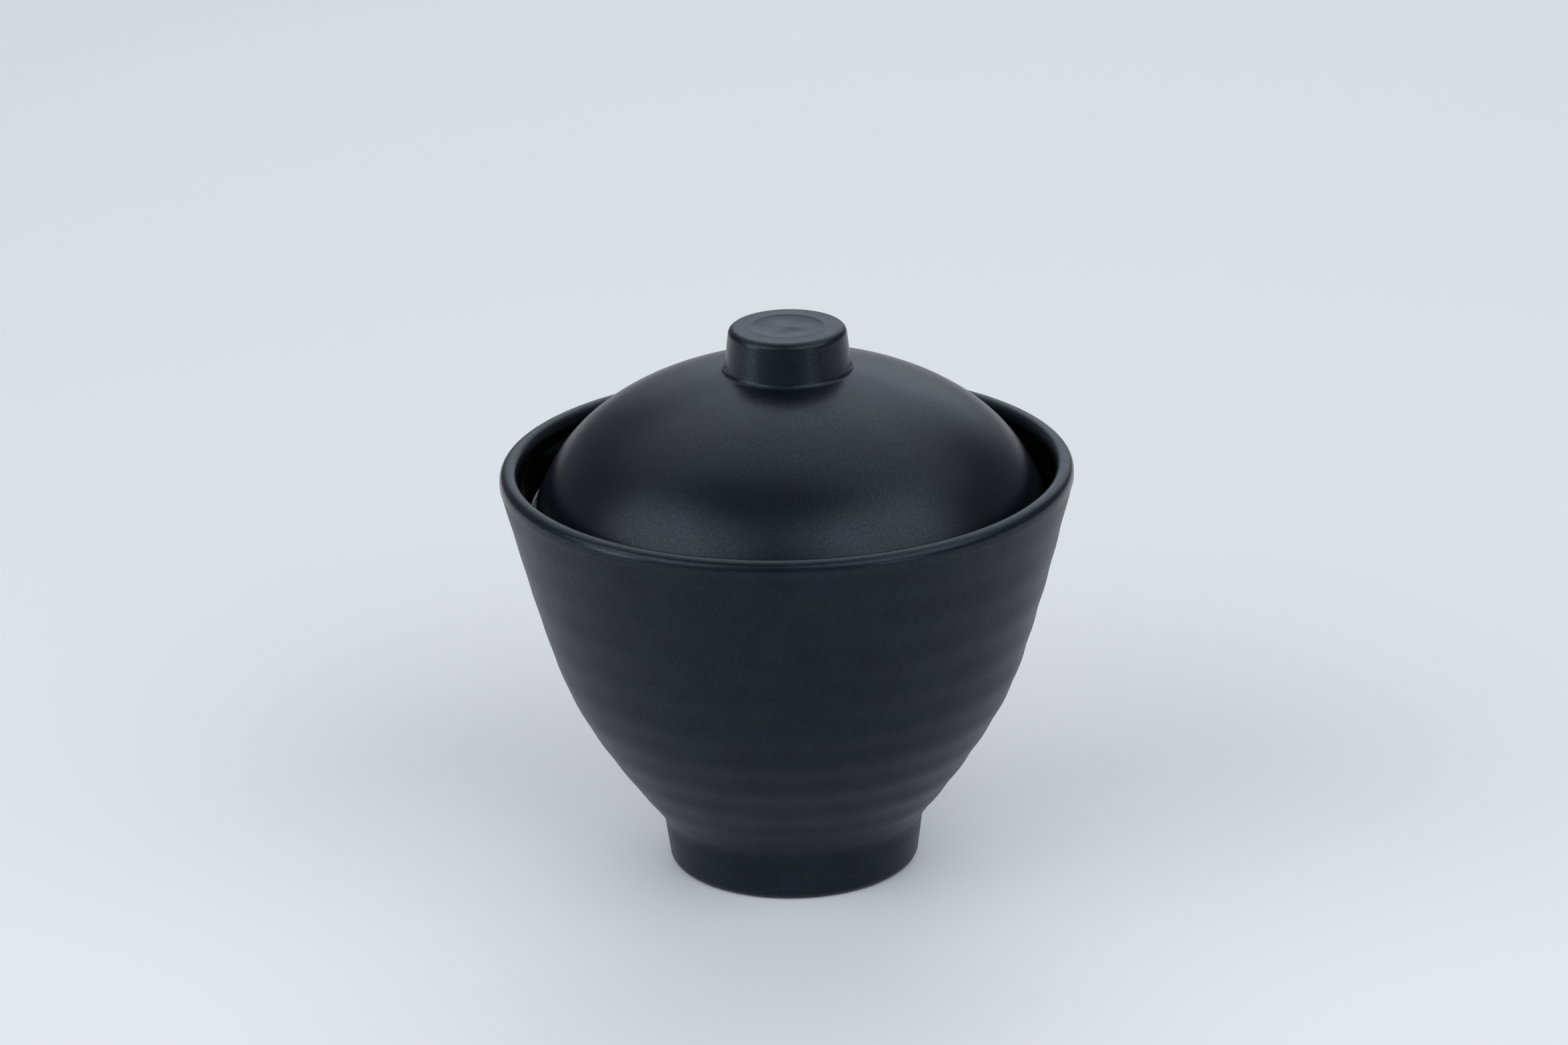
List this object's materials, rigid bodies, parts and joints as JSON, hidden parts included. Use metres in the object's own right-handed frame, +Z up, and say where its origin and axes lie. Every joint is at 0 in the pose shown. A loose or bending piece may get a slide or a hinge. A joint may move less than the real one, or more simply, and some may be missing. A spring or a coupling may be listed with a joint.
{
  "type": "sugar bowl",
  "caption": "Round matte black sugar bowl on a foot ring. Its domed lid has a low round knob, sits on a ledge inside the rim and lifts straight off.",
  "frame": {"origin": "middle of the foot ring's underside, on the surface that the bowl stands on", "axes": "+Z up along the axis that the bowl and the lid are turned about; every direction around it is alike"},
  "size_m": [0.11, 0.11, 0.1085],
  "materials": {
    "bowl_black": "fine matte mould texture outside, polished lip, glossy inside",
    "lid_black": "fine matte mould texture outside, glossy underside"
  },
  "bodies": {
    "bowl": {"bowl": "bowl_black"},
    "lid": {"lid": "lid_black"}
  },
  "joints": [
    {"name": "lid_lift", "type": "slide", "parent": "bowl", "child": "lid", "axis": [0, 0, 1], "range_m": [0, 0.06]}
  ]
}
